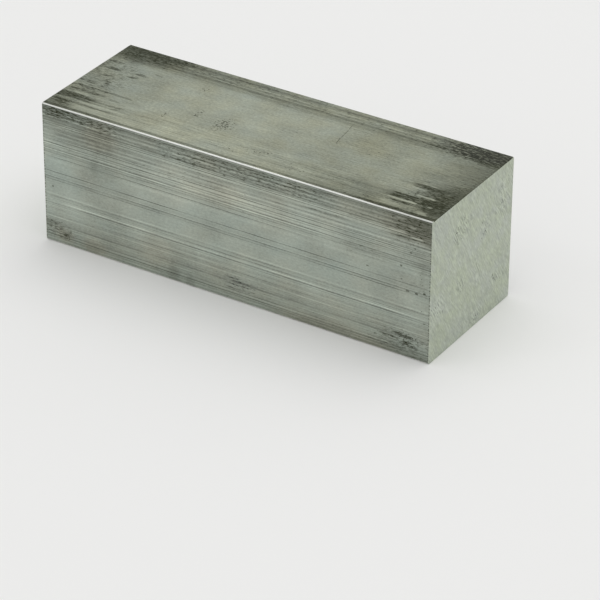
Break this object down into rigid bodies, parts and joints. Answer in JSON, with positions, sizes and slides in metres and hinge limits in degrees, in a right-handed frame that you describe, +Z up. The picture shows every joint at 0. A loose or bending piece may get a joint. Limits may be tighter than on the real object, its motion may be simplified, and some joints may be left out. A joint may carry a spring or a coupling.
{
  "type": "aluminium block",
  "caption": "Solid square aluminium bar sawn to a short block, with flat extruded faces, small rounded long edges and sawn ends, used as raw stock for machining.",
  "frame": {"origin": "middle of the flat face that the block lies on", "axes": "+X along the bar from one sawn end to the other, +Z up, out of the face opposite the one it lies on"},
  "size_m": [0.101, 0.035, 0.035],
  "materials": {
    "aluminium": "mill finish, oxide stained, sawn ends"
  },
  "bodies": {
    "root": {"block": "aluminium"}
  },
  "joints": []
}
